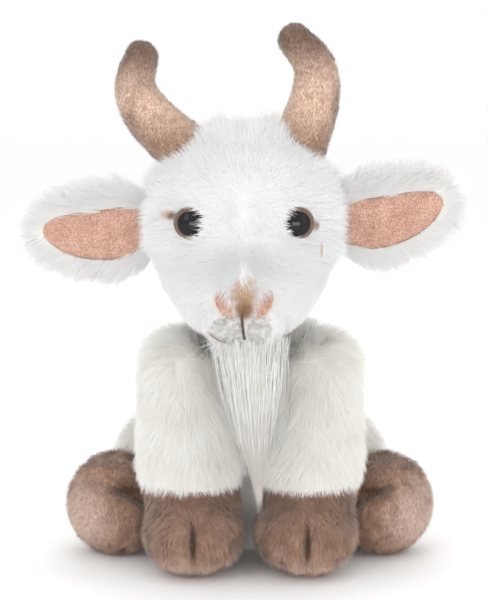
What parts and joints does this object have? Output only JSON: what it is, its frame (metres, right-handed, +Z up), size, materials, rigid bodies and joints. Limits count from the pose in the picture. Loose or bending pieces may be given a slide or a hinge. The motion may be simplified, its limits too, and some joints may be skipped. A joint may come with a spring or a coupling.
{
  "type": "plush goat",
  "caption": "Sitting soft-toy goat with fur skin over stuffing, curved horns, cupped ears, a hair beard, safety eyes and legs that swing at sewn joints.",
  "frame": {"origin": "middle of the flat seat that the goat sits on, on the surface under it", "axes": "+Z up; the goat faces -Y; its left ear as seen from the front is towards -X"},
  "size_m": [0.2099, 0.1731, 0.2632],
  "materials": {
    "white_fur": "long-pile faux fur",
    "brown_pile": "short-pile faux fur",
    "sole_pile": "short-pile faux fur",
    "horn_pile": "brushed velboa, airbrushed darker at the tip",
    "pink_pile": "minky",
    "lip_pile": "minky",
    "hair": "silky long hair",
    "fill": "polyester fibre fill",
    "pouch": "woven pouch of plastic pellets",
    "floss": "embroidery floss",
    "thread": "sewing thread",
    "eye": "glossy, with a brown rim",
    "washer": "moulded"
  },
  "bodies": {
    "torso": {"torso_skin": "white_fur", "torso_stuffing": "fill", "bean_bag": "pouch", "neck_stuffing": "fill", "closing_seam": "thread"},
    "head": {"head_skin": "white_fur", "head_stuffing": "fill", "eye_left": "eye", "eye_right": "eye", "eye_washer_left": "washer", "eye_washer_right": "washer", "nose_patch_left": "pink_pile", "nose_patch_right": "pink_pile", "lip_panel": "lip_pile", "mouth_stitch": "floss", "smile_stitch_left": "floss", "horn_skin_left": "horn_pile", "horn_skin_right": "horn_pile", "horn_stuffing_left": "fill", "horn_stuffing_right": "fill", "beard": "hair"},
    "ear_left": {"ear_back_left": "white_fur", "ear_lining_left": "pink_pile"},
    "ear_right": {"ear_back_right": "white_fur", "ear_lining_right": "pink_pile"},
    "foreleg_left": {"foreleg_left_sleeve": "white_fur", "foreleg_left_hoof": "brown_pile", "foreleg_left_sole": "sole_pile", "foreleg_left_stuffing": "fill", "foreleg_left_toe_stitch": "floss"},
    "foreleg_right": {"foreleg_right_sleeve": "white_fur", "foreleg_right_hoof": "brown_pile", "foreleg_right_sole": "sole_pile", "foreleg_right_stuffing": "fill", "foreleg_right_toe_stitch": "floss"},
    "hindleg_left": {"hindleg_left_sleeve": "white_fur", "hindleg_left_hoof": "brown_pile", "hindleg_left_sole": "sole_pile", "hindleg_left_stuffing": "fill", "hindleg_left_toe_stitch": "floss"},
    "hindleg_right": {"hindleg_right_sleeve": "white_fur", "hindleg_right_hoof": "brown_pile", "hindleg_right_sole": "sole_pile", "hindleg_right_stuffing": "fill", "hindleg_right_toe_stitch": "floss"},
    "tail": {"tail_skin": "white_fur", "tail_stuffing": "fill"}
  },
  "joints": [
    {"name": "neck_turn", "type": "hinge", "parent": "torso", "child": "head", "pos_m": [-0.003, -0.034, 0.111], "axis": [0, 0, 1], "range_deg": [-15, 15], "stiffness_Nm_per_rad": 0.6},
    {"name": "ear_left_flap", "type": "hinge", "parent": "head", "child": "ear_left", "pos_m": [-0.0474, -0.031, 0.165], "axis": [0, 1, 0], "range_deg": [-20, 25], "stiffness_Nm_per_rad": 0.06},
    {"name": "ear_right_flap", "type": "hinge", "parent": "head", "child": "ear_right", "pos_m": [0.0414, -0.031, 0.165], "axis": [0, -1, 0], "range_deg": [-30, 15], "stiffness_Nm_per_rad": 0.06},
    {"name": "foreleg_left_lift", "type": "hinge", "parent": "torso", "child": "foreleg_left", "pos_m": [-0.0325, -0.046, 0.091], "axis": [-0.7071, 0.7071, 0], "range_deg": [0, 35], "stiffness_Nm_per_rad": 0.5},
    {"name": "foreleg_right_lift", "type": "hinge", "parent": "torso", "child": "foreleg_right", "pos_m": [0.0325, -0.046, 0.091], "axis": [-0.7071, -0.7071, 0], "range_deg": [0, 35], "stiffness_Nm_per_rad": 0.5},
    {"name": "hindleg_left_spread", "type": "hinge", "parent": "torso", "child": "hindleg_left", "pos_m": [-0.046, -0.002, 0.033], "axis": [0, 0, -1], "range_deg": [0, 30], "stiffness_Nm_per_rad": 0.5},
    {"name": "hindleg_right_spread", "type": "hinge", "parent": "torso", "child": "hindleg_right", "pos_m": [0.046, -0.002, 0.033], "axis": [0, 0, 1], "range_deg": [0, 30], "stiffness_Nm_per_rad": 0.5},
    {"name": "tail_lift", "type": "hinge", "parent": "torso", "child": "tail", "pos_m": [0, 0.049, 0.06], "axis": [1, 0, 0], "range_deg": [0, 50], "stiffness_Nm_per_rad": 0.03}
  ]
}
